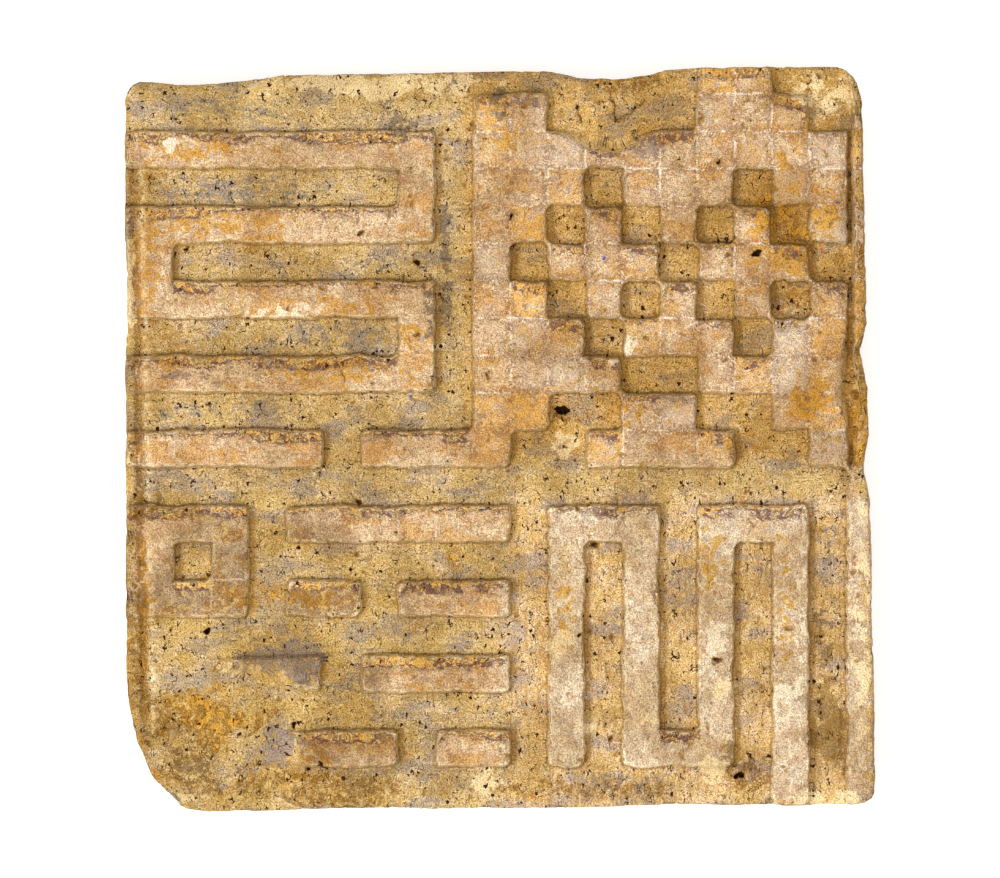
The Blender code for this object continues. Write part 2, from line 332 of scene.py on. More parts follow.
# ========================================
# The slip. A thin pinkish wash lay on the faces of the strokes only. It has scaled off in
# flakes, first along the upper arrises and the slab's edges, and its edges stand proud.
# ========================================
SLIP_THICKNESS = 0.20 * MM
slip = 0.42 + 0.50 * over_face(15 * MM, 2, 12.1) + 0.15 * upright_cuts
slip += 0.42 * over_face(4.6 * MM, 3, 14.9)
slip -= 1.15 * ramp(near_upper_arris, 0.10, 0.62) * (1.0 - 0.55 * checked)
slip -= 0.45 * ramp(near_arris, 0.35, 1.0) * (1.0 - 0.5 * checked)
slip -= 0.9 * (1.0 - ramp(from_rim, 1.0 * MM, 5.0 * MM))
slip -= 0.55 * ramp(height_lost, 0.3 * MM, 1.0 * MM)
slip = np.clip(slip, -1.0, 1.0)
slip_cover = ramp(slip, -0.05, 0.05) * ramp(standing, 0.55, 0.85)
height += SLIP_THICKNESS * slip_cover

# ========================================
# Pores and straw voids. Grit fell out and chopped straw burnt away in the kiln, leaving
# round pits and narrow slots; a few large holes are torn ones.
# ========================================
HALF_WIDTH = (cad_high.x - cad_low.x) / 2
WINDOW_MARGIN = 9                      # grid steps by which a ring may stray from its square


def hollow_out(depths, x, y, long, wide, heading, deep):
    """Sinks one rounded hole, of these half lengths, into the field of depths."""
    column = int(round((x / HALF_WIDTH + 1) * STEPS / 2))
    row = int(round((y / HALF_WIDTH + 1) * STEPS / 2))
    reach = int(long / SPACING) + WINDOW_MARGIN
    rows = slice(max(row - reach, 0), row + reach + 1)
    columns = slice(max(column - reach, 0), column + reach + 1)
    dx, dy = face_x[rows, columns] - x, face_y[rows, columns] - y
    torn = 0.9 * wide * lumps(dx + x, dy + y, 0.0 * dx, 0.9 * wide + 0.3 * MM, 2, 23.0)
    along = dx * np.cos(heading) + dy * np.sin(heading) + 1.4 * torn
    aside = dy * np.cos(heading) - dx * np.sin(heading) + torn
    off = (along / long) ** 2 + (aside / wide) ** 2
    off *= 1.0 + lumps(dx + x, dy + y, 0.0 * dx, 0.6 * wide + 0.3 * MM, 3, 24.0)
    hole = deep * np.sqrt(np.clip(1.0 - off, 0.0, 1.0))
    depths[rows, columns] = np.maximum(depths[rows, columns], hole)


chance = np.random.default_rng(47)
holes = np.zeros_like(face_x)
PIT_COUNT = 620
for n in range(PIT_COUNT):
    x, y = chance.uniform(-0.97, 0.97, 2) * HALF_WIDTH
    size = np.clip(chance.lognormal(-0.85, 0.38), 0.30, 1.25) * MM
    hollow_out(holes, x, y, size * chance.uniform(1.0, 1.8), size, chance.uniform(0, np.pi), size * 1.2)
STRAW_COUNT = 60
for n in range(STRAW_COUNT):
    x, y = chance.uniform(-0.96, 0.96, 2) * HALF_WIDTH
    long = chance.uniform(0.9, 2.2) * MM
    hollow_out(holes, x, y, long, chance.uniform(0.28, 0.42) * MM, chance.uniform(0, np.pi), 0.7 * MM)
TORN_HOLES = (                         # x, y, half length, half width, heading, depth, in mm
    (21.8, 10.0, 2.7, 2.0, -0.6, 4.0),
    (89.2, 64.6, 2.4, 1.3, 0.2, 3.0),
    (83.6, -117.2, 2.6, 1.9, 0.5, 3.6),
    (-102.4, -67.6, 1.9, 1.5, 0.9, 3.2),
    (27.5, -68.2, 1.2, 0.8, 0.4, 2.2),
    (-113.0, 111.5, 1.5, 0.8, 0.3, 1.8),
    (-109.5, 66.0, 1.7, 0.9, 0.4, 2.0),
    (76.0, 96.5, 1.2, 0.8, 0.9, 2.0),
    (4.0, 77.4, 1.4, 0.8, 1.2, 2.0),
    (112.0, -95.4, 1.1, 0.7, 0.7, 2.0),
    (-103.5, -102.8, 2.3, 1.2, 0.4, 2.6),
    (-71.7, -99.9, 1.9, 1.0, 1.3, 2.6),
    (-62.0, -113.4, 2.6, 1.1, -0.7, 2.8),
    (-66.6, -114.8, 1.5, 0.8, 0.4, 2.0),
    (-48.5, 71.5, 2.0, 0.8, 0.5, 1.6),
    (-29.0, 61.5, 2.1, 1.0, -0.6, 1.8),
)
TORN_WIDTH = 0.78                      # share of its size over which a hole is truly open
for x, y, long, wide, heading, deep in TORN_HOLES:
    hollow_out(holes, x * MM, y * MM, TORN_WIDTH * long * MM, TORN_WIDTH * wide * MM, heading, deep * MM)
holes *= 1.0 + 0.35 * over_face(0.9 * MM, 2, 21.0)
holes = np.clip(holes, 0.0, 4.0 * MM) * ramp(from_rim, 0.2 * MM, 2.0 * MM)
holes = np.maximum(holes, 1.3 * crack_depth)
height -= holes
height -= max(height.max() - cad_high.z + 0.02 * MM, 0.0)


# ========================================
# What age left on the face: ochre and iron where the slip went thin, grey slurry, soot and a
# painted shadow in the channels, pale lime and fresh chips on the edges, and a brown stain low on the
# right.
# Each mark is given as x, y, half width, half height in mm from the middle, and strength.
# ========================================
ragged = 0.75 * over_face(7 * MM, 4, 61.0)


def uneven_patches(marks):
    """Soft ragged patches that cover the face to their own strength."""
    cover = np.zeros_like(face_x)
    for x, y, wide, high, strength in marks:
        off = np.hypot((face_x / MM - x) / wide, (face_y / MM - y) / high)
        cover = np.maximum(cover, strength * ramp(1.15 - off + ragged, 0.0, 0.8))
    return cover


AGE_MARKS = {
    "ochre": (
        (-96, 75, 26, 5, 0.55), (-70, 45, 30, 4, 0.50), (100, 74, 20, 26, 0.85),
        (125.5, 3, 5, 13, 1.1), (-57, 23.5, 28, 6, 0.55), (-31, 36, 6, 6, 0.7),
        (-100, -96, 20, 14, 0.95), (-70, -112, 22, 9, 0.5), (-123, 60, 5, 45, 0.6),
        (-124, -61, 3, 38, 0.6), (73, -42, 7, 15, 0.5), (23, -55, 4, 18, 0.5),
        (99, -60, 5, 30, 0.4), (-76, -55, 25, 5, 0.6), (-17, -41, 6, 8, 0.8),
        (-97, 101, 18, 4, 0.55), (41, 10, 12, 6, 0.5), (83, -1, 10, 5, 0.5), (108, 14, 9, 9, 1.0),
        (113, 77, 7, 9, 1.2), (-112, 34, 9, 11, 0.6), (-84, 68, 12, 5, 0.6), (4, 105, 8, 6, 0.7),
    ),
    "grey": (
        (-90, 87, 24, 6, 0.65), (-59, 36, 30, 5, 0.5), (-76, -76, 17, 9, 1.3),
        (-76, -106, 9, 9, 1.3), (52, 101, 8, 5, 0.8), (-96, 114, 22, 5, 0.7),
        (44, -120, 26, 5, 0.5), (114, -45, 6, 26, 0.5), (-35, 2, 12, 4, 0.6), (-98, 10, 22, 4, 0.4),
        (-108, 22, 12, 3, 0.6), (-40, 62, 18, 4, 0.4),
    ),
    # soot, and painted shadow in the channels
    "soot_and_shadow": (
        (-35, 110, 7, 7, 0.6), (0, 117, 4, 8, 0.6), (-19, 62, 2.6, 34, 0.7), (-25, 43, 2, 12, 0.6),
    ),
    "stain": (
        (114, -101, 7, 20, 0.85), (113, -70, 4, 16, 0.5), (-124, -25, 6, 12, 0.5),
        (80, -112, 8, 9, 0.35),
    ),
    "pale": (
        (-43, 124, 38, 5, 1.0), (114, 121, 13, 8, 0.5), (-129, 54, 2.4, 18, 0.8),
        (-112, -125, 12, 2.4, 0.7), (114, -125, 18, 3, 0.7), (126, -67, 4, 55, 0.4),
        (22, -2, 6, 6, 0.6), (74, -117, 7, 8, 0.8), (77, -87, 6, 6, 0.7), (40, -98, 20, 4, 0.5),
        (21, -72, 5, 6, 0.7), (-5, -117, 6, 10, 0.6),
    ),
    "lime": (
        (42, 30, 7, 6, 1.0), (75, -70, 4, 8, 0.8), (99, -88, 8, 4, 0.9), (-116, 103, 4, 3, 0.8),
        (-72, 45, 16, 3, 0.45), (106, -60, 5, 40, 0.3),
    ),
    "lower_left": (
        (-80, -75, 62, 62, 1.0),
    ),
    "crumbly": (
        (-104, -100, 22, 20, 0.7), (-112, -118, 18, 9, 0.8), (-60, -122, 40, 6, 0.9),
        (-127, -60, 4, 60, 0.7), (40, 126, 18, 5, 0.8), (125, 40, 5, 60, 0.6),
        (84, -117, 10, 8, 0.8), (20, 8, 9, 7, 0.6), (30, -122, 60, 4, 0.6),
    ),
}
age_marks = {name: uneven_patches(marks) for name, marks in AGE_MARKS.items()}


# ========================================
# The sides and the bedding face. The sides carry the mould's drag and the same pores; the
# bedding face is flat. Both arrises are chipped all the way round.
# ========================================
SIDE_ROWS = 40
BACK_STEPS = STEPS // 4                # the plain back needs a coarser grid
FOOT = 0.05 * MM                       # just above the bedding face

rim_rows = np.concatenate([
    np.zeros(STEPS, int), np.arange(STEPS), np.full(STEPS, STEPS), np.arange(STEPS, 0, -1),
])
rim_columns = np.concatenate([
    np.arange(STEPS), np.full(STEPS, STEPS), np.arange(STEPS, 0, -1), np.zeros(STEPS, int),
])
rim_height = height[rim_rows, rim_columns]

down_share = (np.arange(1, SIDE_ROWS + 1) / SIDE_ROWS)[:, None]
side_z = rim_height * (1 - down_share) + FOOT * down_share
side_xy = np.array([
    [side_of_slab(a, b, z) for a, b, z in zip(rim_across, rim_up, row)] for row in side_z
])

face_points = np.dstack([face_x, face_y, height])
side_points = np.dstack([side_xy, side_z])

back_up, back_across = np.mgrid[0:BACK_STEPS + 1, 0:BACK_STEPS + 1] * 2.0 / BACK_STEPS - 1.0
back_ring = np.maximum(np.abs(back_across), np.abs(back_up)) * (1 - 1 / BACK_STEPS)
back_turn = way_round(back_across, back_up)
foot_line = np.vstack([side_xy[-1], side_xy[-1][:1]])
back_x = back_ring * np.interp(back_turn, around, foot_line[:, 0])
back_y = back_ring * np.interp(back_turn, around, foot_line[:, 1])
back_z = 0.25 * MM * (1 + lumps(back_x, back_y, 0 * back_x, 6 * MM, 3, 31.0))
back_z += 0.5 * MM * ramp(lumps(back_x, back_y, 0 * back_x, 2.5 * MM, 2, 33.0), 0.45, 0.75)
back_points = np.dstack([back_x, back_y, back_z])


def outward(points):
    """The level direction out of the slab at each point, from the outline's own run."""
    run = np.roll(outline, -6, axis=0) - np.roll(outline, 6, axis=0)
    run /= np.linalg.norm(run, axis=1, keepdims=True)
    out = np.column_stack([run[:, 1], -run[:, 0]])
    place = way_round(points[..., 0] / HALF_WIDTH, points[..., 1] / HALF_WIDTH)
    table = np.vstack([out, out[:1]])
    return np.stack([np.interp(place, around, table[:, 0]), np.interp(place, around, table[:, 1])], -1)


SIDE_LUMPS = (                         # depth, shares of the run and the drop, size, layers, start
    (0.42, 1.0, 0.7, 13, 3, 41.0), (0.50, 1.0, 0.3, 4.5, 4, 42.0),
    (0.30, 1.0, 1.0, 2.2, 3, 43.0), (0.18, 0.15, 1.0, 1.6, 2, 45.0),
)
SIDE_PITS = 0.9 * MM


def roughened(points, strength):
    """Points of the sides moved in and out, as rough moulded clay."""
    x, y, z = points[..., 0], points[..., 1], points[..., 2]
    rough = sum(
        deep * MM * lumps(x * along, y * along, z * down, size * MM, layers, start)
        for deep, along, down, size, layers, start in SIDE_LUMPS
    )
    rough -= SIDE_PITS * ramp(lumps(x, y, z, 2.2 * MM, 2, 47.0), 0.52, 0.72)
    rough = np.minimum(rough - JUST_INSIDE, 0.0) * strength
    moved = points.copy()
    moved[..., :2] += outward(points) * rough[..., None]
    return moved


def bitten(points, centre, radius):
    """Points within a broken-out bite pushed back to its ragged hollow."""
    away = points - centre
    distance = np.linalg.norm(away, axis=-1)
    near = distance < radius * 1.3
    if not near.any():
        return points
    x, y, z = points[near].T
    ragged = radius * (1.0 + 0.22 * lumps(x, y, z, radius * 0.7, 3, 51.0))
    d = np.maximum(distance[near], 0.02 * MM)
    push = np.maximum(ragged / d, 1.0)
    points[near] = centre + away[near] * push[:, None]
    return points


face_points = roughened(face_points, 1.0 - ramp(from_rim, 0.0, 3.0 * MM))
side_points = roughened(side_points, 1.0)

ARRIS_CHIPS = 110
for n in range(ARRIS_CHIPS):
    at = chance.integers(0, 4 * STEPS)
    radius = np.clip(chance.lognormal(0.45, 0.45), 0.9, 4.5) * MM
    proud = chance.uniform(0.25, 0.75) * radius
    out = Vector((*outline[at], 0.0)).normalized()
    upper = chance.random() < 0.6
    z = rim_height[at] + proud if upper else -proud
    centre = np.array([outline[at][0] + out.x * proud, outline[at][1] + out.y * proud, z])
    if upper:
        face_points = bitten(face_points, centre, radius)
    side_points = bitten(side_points, centre, radius)
side_points[..., 2] = np.maximum(side_points[..., 2], 0.0)
side_points[-1, :, 2] = 0.1 * MM


# ========================================
# One closed skin. The three grids are joined into a single surface, thinned where the clay
# is even and left fine at every arris, chip and pore.
# ========================================
SKIN_TRIANGLES = 196000


def grid_faces(ids):
    """The squares of a grid of point numbers, wound counter-clockwise seen from its front."""
    return np.stack([ids[:-1, :-1], ids[:-1, 1:], ids[1:, 1:], ids[1:, :-1]], -1).reshape(-1, 4)


face_ids = np.arange(face_x.size).reshape(face_x.shape)
rim_ids = face_ids[rim_rows, rim_columns]
side_ids = face_x.size + np.arange(SIDE_ROWS * 4 * STEPS).reshape(SIDE_ROWS, 4 * STEPS)
side_ids = np.vstack([rim_ids, side_ids])
side_loop = np.hstack([side_ids, side_ids[:, :1]])
back_ids = face_x.size + SIDE_ROWS * 4 * STEPS + np.arange(back_x.size).reshape(back_x.shape)

back_rim = np.concatenate([
    back_ids[0, :-1], back_ids[:-1, -1], back_ids[-1, :0:-1], back_ids[:0:-1, 0],
])
fine = STEPS // BACK_STEPS
seam = []
for n, start in enumerate(back_rim):
    end = back_rim[(n + 1) % len(back_rim)]
    foot = [side_loop[-1][n * fine + k] for k in range(fine + 1)]
    seam.append([end, start, *foot])

points = np.vstack([face_points.reshape(-1, 3), side_points.reshape(-1, 3), back_points.reshape(-1, 3)])
polygons = grid_faces(face_ids).tolist()
polygons += grid_faces(side_loop[::-1]).tolist()
polygons += grid_faces(back_ids)[:, ::-1].tolist()
polygons += [[int(i) for i in polygon] for polygon in seam]


def over_whole_skin(on_face, elsewhere=0.0):
    """A value for every point of the skin, from one for each point of the carved face."""
    rest = np.full(len(points) - on_face.size, elsewhere)
    return np.concatenate([on_face.ravel(), rest])


face_fields = {
    "standing": standing, "hole": holes / MM, "wall_foot": wall_foot, "upper_arris": near_upper_arris,
    "arris": near_arris, "upright": upright_cuts, "checked": checked, "margin": margin_groove,
    "ridge": margin_ridge, "painted_shadow_right": painted_shadow_right, "painted_shade_above_stroke": painted_shade_above_stroke, **age_marks,
}
fields = {name: over_whole_skin(values) for name, values in face_fields.items()}
fields["slip"] = over_whole_skin(slip, -1.0)
zone = np.concatenate([
    np.zeros(face_x.size), np.ones(SIDE_ROWS * 4 * STEPS), np.full(back_x.size, 2.0),
])
fields["zone"] = zone


def put_in_scene(name, data):
    """A new object of this mesh, light or camera."""
    thing = bpy.data.objects.new(name, data)
    bpy.context.scene.collection.objects.link(thing)
    return thing


dense = bpy.data.meshes.new("dense_skin")
dense.from_pydata(points.tolist(), [], polygons)
for name, values in fields.items():
    layer = dense.attributes.new(name, "FLOAT", "POINT")
    layer.data.foreach_set("value", values.astype(np.float32))
workpiece = put_in_scene("dense_skin", dense)
thin = workpiece.modifiers.new("thin", "DECIMATE")
triangles = sum(len(p) - 2 for p in polygons)
thin.ratio = SKIN_TRIANGLES / triangles
evaluated = workpiece.evaluated_get(bpy.context.evaluated_depsgraph_get())
skin_mesh = bpy.data.meshes.new_from_object(evaluated)
bpy.data.objects.remove(workpiece)
skin_mesh.name = "tile_skin"
for corner in skin_mesh.vertices:
    corner.co.z = min(corner.co.z, cad_high.z)

# Where each part of the skin lies on the sheet that its looks are painted on: the carved face
# large at the lower left, the four sides in strips above and beside it, the back in the corner.
FACE_SHARE = 0.780
STRIPS = ((0.0, 0.785, True), (0.785, 0.0, False), (0.0, 0.895, True), (0.895, 0.0, False))
STRIP_WIDTH = 0.100
BACK_CORNER = 0.788
BACK_SHARE = 0.210


def read_out(items, name, kind=np.int32, each=1):
    """What every item of one list of the mesh has under this name."""
    values = np.empty(len(items) * each, kind)
    items.foreach_get(name, values)
    return values


corner_points = read_out(skin_mesh.loops, "vertex_index")
places = read_out(skin_mesh.vertices, "co", np.float32, 3).reshape(-1, 3)
zones = read_out(skin_mesh.attributes["zone"].data, "value", np.float32)
face_starts = read_out(skin_mesh.polygons, "loop_start")
face_sizes = read_out(skin_mesh.polygons, "loop_total")
face_of_corner = np.repeat(np.arange(len(face_sizes)), face_sizes)


def mean_of_face(values):
    return np.add.reduceat(values[corner_points], face_starts) / face_sizes


width, depth, thickness = (cad_high - cad_low)[:]
level = (places - np.array(cad_low[:])) / np.array([width, depth, thickness])
level = np.clip(level, 0.0, 1.0)[corner_points]
kind = mean_of_face(zones)[face_of_corner]
middle_x, middle_y = mean_of_face(places[:, 0]), mean_of_face(places[:, 1])
face_turn = way_round(middle_x / (width / 2), middle_y / (depth / 2)) % 4
side = np.floor(face_turn).astype(int)[face_of_corner]
sheet = level[:, :2] * FACE_SHARE
for n, (left, bottom, is_level) in enumerate(STRIPS):
    here = (kind > 0.2) & (side == n)
    run = level[:, 0] if is_level else level[:, 1]
    along, aside = run * FACE_SHARE, level[:, 2] * STRIP_WIDTH
    on_strip = np.column_stack([along, bottom + aside] if is_level else [left + aside, along])
    sheet[here] = on_strip[here]
on_back = BACK_CORNER + level[:, :2] * BACK_SHARE
sheet = np.where((kind > 1.2)[:, None], on_back, sheet)
skin_mesh.uv_layers.new(name="OFBake").data.foreach_set("uv", sheet.astype(np.float32).ravel())

skin = put_in_scene("tile_skin", skin_mesh)
skin_mesh.shade_smooth()
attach(skin, "root")
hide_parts("tile")

# ========================================
# The fired clay. One body, gold to olive where it was cut, with the slip's pinkish cream on
# the strokes, and on both the fine speckle of sand, grit, burnt-out chaff and old dirt.
# ========================================
clay = bpy.data.materials.new("fired_clay")
clay.use_nodes = True
nodes, links = clay.node_tree.nodes, clay.node_tree.links


def feed(socket, value):
    """Sets a socket to a plain number or colour, or joins it to what another node gives."""
    if isinstance(value, bpy.types.NodeSocket):
        links.new(value, socket)
    else:
        socket.default_value = value


def new_node(kind, inputs=(), **settings):
    """A node of this kind, its settings made and its inputs fed."""
    node = nodes.new("ShaderNode" + kind)
    for name, setting in settings.items():
        setattr(node, name, setting)
    for name, value in dict(inputs).items():
        feed(node.inputs[name], value)
    return node


def reckon(operation, *values):
    return new_node("Math", enumerate(values), operation=operation).outputs[0]


def reckon_places(operation, *values):
    return new_node("VectorMath", enumerate(values), operation=operation).outputs["Vector"]


def less(a):
    return reckon("SUBTRACT", 1.0, a)


def apart(a, b):
    return reckon("ABSOLUTE", reckon("SUBTRACT", a, b))


def both(*shares):
    total = shares[0]
    for share in shares[1:]:
        total = reckon("MULTIPLY", total, share)
    return total


def pushed(value, grain, by):
    """A value pushed up and down by a grain."""
    return reckon("MULTIPLY_ADD", reckon("SUBTRACT", grain, 0.5), by, value)


def place_at(x, y):
    return new_node("CombineXYZ", {"X": x, "Y": y}).outputs["Vector"]


def over_clay(name):
    """One of the fields that the skin carries."""
    return new_node("Attribute", attribute_name=name).outputs["Fac"]


# Grain runs over the face by its x and y, and on down each side as if it were folded out flat.
# On the sloping walls it runs out and back with the slope, so that it isn't drawn out down them.
WALL_GRAIN = 2.5 * MM
tile_places = new_node("TexCoord")
ruler = new_node("SeparateXYZ", {"Vector": tile_places.outputs["Object"]})
far_across, far_up = (reckon("ABSOLUTE", ruler.outputs[axis]) for axis in "XY")
is_level_side = reckon("GREATER_THAN", far_up, far_across)
on_a_side = less(apart(over_clay("zone"), 1.0))
folded_out = both(reckon("SUBTRACT", cad_high.z, ruler.outputs["Z"]), on_a_side)
out_up = both(folded_out, is_level_side)
out_across = reckon("SUBTRACT", folded_out, out_up)
on_clay = place_at(
    reckon("MULTIPLY_ADD", out_across, reckon("SIGN", ruler.outputs["X"]), ruler.outputs["X"]),
    reckon("MULTIPLY_ADD", out_up, reckon("SIGN", ruler.outputs["Y"]), ruler.outputs["Y"]),
)
standing_up = over_clay("standing")
wall_swing = both(standing_up, 4.0 * WALL_GRAIN, less(standing_up))
swung = place_at(wall_swing, wall_swing)
on_clay = reckon_places("MULTIPLY_ADD", tile_places.outputs["Normal"], swung, on_clay)


def spread_out(vector, start, stretch=(1.0, 1.0), heading=0.0):
    """The place on the clay moved to a part of the pattern of its own, stretched and turned."""
    return new_node("Mapping", {
        "Location": (start, -start, 0.0), "Rotation": (0.0, 0.0, heading), "Scale": (*stretch, 1.0),
        "Vector": vector,
    }).outputs["Vector"]


def speckle(size, layers, start, stretch=(1.0, 1.0), coarse=0.5,
            place=on_clay, heading=0.0, twist=0.0):
    """Cloudy grain, about 0.5 on average, with lumps of a size in metres, stretched or not."""
    return new_node("TexNoise", {
        "Scale": 1.0 / size, "Detail": layers, "Roughness": coarse, "Distortion": twist,
        "Vector": spread_out(place, start, stretch, heading),
    }, noise_dimensions="2D").outputs["Fac"]


def rise(value, low, high):
    """A smooth step from 0 to 1 as the value goes from low to high."""
    between = {"Value": value, "From Min": low, "From Max": high}
    return new_node("MapRange", between, interpolation_type="SMOOTHSTEP").outputs["Result"]


def over(value, level, edge=0.02):
    """1 where the value is over a level, and a soft edge there."""
    return rise(value, level - edge, level + edge)


def under(value, level, edge=0.02):
    return less(over(value, level, edge))


def tint(under_it, over_it, share, way="MIX"):
    """One colour laid over another, as thickly as its share says."""
    node = new_node("Mix", {"Factor": share}, data_type="RGBA", blend_type=way)
    colours = [socket for socket in node.inputs if socket.type == "RGBA"]
    feed(colours[0], under_it)
    feed(colours[1], over_it)
    return [socket for socket in node.outputs if socket.type == "RGBA"][0]


# A small wander of the place itself, so that no pore or speck is round.
shaken = new_node("TexNoise", {
    "Scale": 1.0 / (0.8 * MM), "Detail": 0.0, "Vector": on_clay,
}, noise_dimensions="2D")
ragged_place = reckon_places("MULTIPLY_ADD", shaken.outputs["Color"], (1.3 * MM, 1.3 * MM, 0.0), on_clay)

broad = speckle(26 * MM, 2, 1.0)
cloudy = speckle(6.0 * MM, 4, 2.0, coarse=0.62)
crowding = reckon("MULTIPLY_ADD", over(broad, 0.50, 0.04), 1.1, 0.35)


def scattered(size, start):
    """Cells of a size: the chance number of each, and how far from its middle a place lies."""
    cells = new_node("TexVoronoi", {
        "Scale": 1.0 / size, "Vector": spread_out(ragged_place, start),
    }, voronoi_dimensions="2D")
    lot = new_node("SeparateColor", {"Color": cells.outputs["Color"]})
    return lot, both(cells.outputs["Distance"], size / MM)


def specks(lot, distance, low, high, radius, edge=0.12):
    """Ragged specks of up to a radius in mm, in the cells whose chance lies from low to high."""
    chance_of_it, size_of_it = lot.outputs["Red"], lot.outputs["Green"]
    taken = both(reckon("GREATER_THAN", chance_of_it, low), reckon("LESS_THAN", chance_of_it, high))
    skewed = both(size_of_it, size_of_it)
    reach = reckon("MULTIPLY_ADD", skewed, 0.75 * radius, 0.25 * radius)
    inside = rise(reckon("SUBTRACT", reach, distance), -0.4 * edge, 0.6 * edge)
    return both(taken, inside)


def marked(name, grain, hold=0.42):
    """A field's patches with a ragged edge, broken up by a grain."""
    cover = over_clay(name)
    return both(rise(pushed(cover, grain, 2.4), hold - 0.15, hold + 0.12), rise(cover, 0.02, 0.20))


def crackle(grain, width, level=0.5):
    """Thin wandering lines, where a grain passes a level."""
    return less(rise(apart(grain, level), 0.4 * width, width))


blotchy = speckle(3.8 * MM, 3, 3.0, coarse=0.56)
flaky = speckle(2.8 * MM, 4, 4.0, coarse=0.68)
creased = speckle(3.4 * MM, 2, 6.0, coarse=0.55, twist=2.2)
gritty = speckle(0.55 * MM, 1, 5.0, coarse=0.7)
smeared = speckle(10 * MM, 4, 9.0, (0.55, 1.0), 0.62)
wriggling = speckle(2.4 * MM, 1, 16.0, (1.0, 0.55), heading=0.35)
upright = over_clay("upright")
turned = reckon("GREATER_THAN", upright, 0.5)
DRAG_STRETCH = 0.16                    # the drag marks are this much finer across than along
drag_across = reckon("MULTIPLY_ADD", turned, 1.0 - DRAG_STRETCH, DRAG_STRETCH)
drag_up = reckon("MULTIPLY_ADD", turned, DRAG_STRETCH - 1.0, 1.0)
dragged = reckon_places("MULTIPLY", on_clay, place_at(drag_across, drag_up))
streaky = speckle(1.4 * MM, 3, 7.0, coarse=0.66, place=dragged)


def layered(colour, *layers):
    """A colour with tints laid over it in turn, each given with the shares that thin it."""
    for over_it, *shares in layers:
        colour = tint(colour, over_it, both(*shares))
    return colour


# Where each grain stands out; most tints are broken up by one or two of these.
flaked = over(flaky, 0.44)
half_flaked = over(flaky, 0.49)
clouded = over(cloudy, 0.44, 0.03)
mottled = over(blotchy, 0.46)
streaked = over(streaky, 0.42, 0.05)
wriggles = crackle(creased, 0.08)

# ========================================
# The cut clay. Fired buff clay, bared by the knife, runs from the palest gold through olive
# to the grey of fine slurry, and where it crumbled it has gone brown and cracked.
# ========================================
BRIGHT_CLAY = (0.92, 0.690, 0.340, 1)
CRUMB_CLAY = (0.90, 0.660, 0.310, 1)
PALE_CLAY = (0.82, 0.585, 0.260, 1)
PINK_CLAY = (0.76, 0.500, 0.250, 1)
STRAW_CLAY = (0.74, 0.470, 0.120, 1)
GOLD_CLAY = (0.67, 0.440, 0.170, 1)
DEEP_GOLD = (0.56, 0.290, 0.048, 1)
DUN_CLAY = (0.47, 0.345, 0.230, 1)
OLIVE_CLAY = (0.36, 0.220, 0.055, 1)
GREY_SLURRY = (0.35, 0.285, 0.190, 1)
BROWN_CLAY = (0.26, 0.125, 0.020, 1)
BURNT_CLAY = (0.22, 0.115, 0.025, 1)
CRUMB_CRACK = (0.14, 0.060, 0.008, 1)
CREASE_SHADE = (0.12, 0.050, 0.008, 1)
RIDGE_HIGHLIGHT = (0.98, 0.760, 0.400, 1)

patch_place = reckon("MULTIPLY_ADD", over_clay("lower_left"), 0.04, smeared)
# Fine creases: painted shade on both flanks and a painted highlight on the ridge between them.
either_side = apart(creased, 0.5)
crease_shade_line = both(crackle(either_side, 0.038, 0.08), flaked)
ridge_highlight_line = both(crackle(creased, 0.030, 0.50), half_flaked)
is_crumbly = marked("crumbly", cloudy)
cut_clay = layered(
    GOLD_CLAY,
    (PALE_CLAY, over(cloudy, 0.49, 0.05), 0.65),
    (PINK_CLAY, over(broad, 0.53, 0.04), mottled, 0.55),
    (OLIVE_CLAY, over(streaky, 0.56, 0.03), 0.42),
    (BRIGHT_CLAY, over(flaky, 0.575, 0.02), under(smeared, 0.55), 0.34),
    (DEEP_GOLD, rise(upright, 0.3, 0.9), over(streaky, 0.53, 0.04), 0.30),
    (GREY_SLURRY, over(smeared, 0.56, 0.04), streaked, 0.60),
    (GREY_SLURRY, marked("grey", blotchy), streaked, 0.85),
    (OLIVE_CLAY, under(flaky, 0.41, 0.02), 0.45),
    (DEEP_GOLD, under(blotchy, 0.39, 0.015), 0.40),
    (STRAW_CLAY, under(smeared, 0.455, 0.012), flaked, 0.60),
    (DUN_CLAY, over(patch_place, 0.585, 0.010), flaked, 0.60),
    (DEEP_GOLD, marked("ochre", blotchy), 0.65),
    (BURNT_CLAY, marked("ochre", flaky), under(flaky, 0.455), 0.60),
    # painted shade in the fine creases, painted highlight on their ridges
    (CREASE_SHADE, crease_shade_line, 0.72),
    (RIDGE_HIGHLIGHT, ridge_highlight_line, 0.30),
    (DEEP_GOLD, is_crumbly, over(broad, 0.44, 0.06), 0.50),
    (BROWN_CLAY, is_crumbly, under(flaky, 0.465, 0.035), mottled, 0.62),
    (CRUMB_CLAY, is_crumbly, over(flaky, 0.57, 0.02), 0.38),
    (CRUMB_CRACK, is_crumbly, wriggles, clouded, 0.62),
)

# ========================================
# The slip's colour. The wash fired to a pinkish cream, mottled with ochre and lilac grey,
# has worn in places down to the clay, and took another tone in each quarter.
# ========================================
WHITE_SLIP = (0.96, 0.790, 0.560, 1)
CREAM_SLIP = (0.86, 0.675, 0.465, 1)
PINK_SLIP = (0.72, 0.510, 0.325, 1)
OCHRE_SLIP = (0.70, 0.375, 0.075, 1)
RUSTY_SLIP = (0.64, 0.350, 0.060, 1)
LILAC_SLIP = (0.46, 0.355, 0.275, 1)
BROWN_STREAK = (0.42, 0.215, 0.075, 1)
SLIP_CREASE_SHADE = (0.27, 0.120, 0.045, 1)
GREY_CRUST = (0.25, 0.195, 0.170, 1)
SLIP_CRACK = (0.24, 0.125, 0.070, 1)

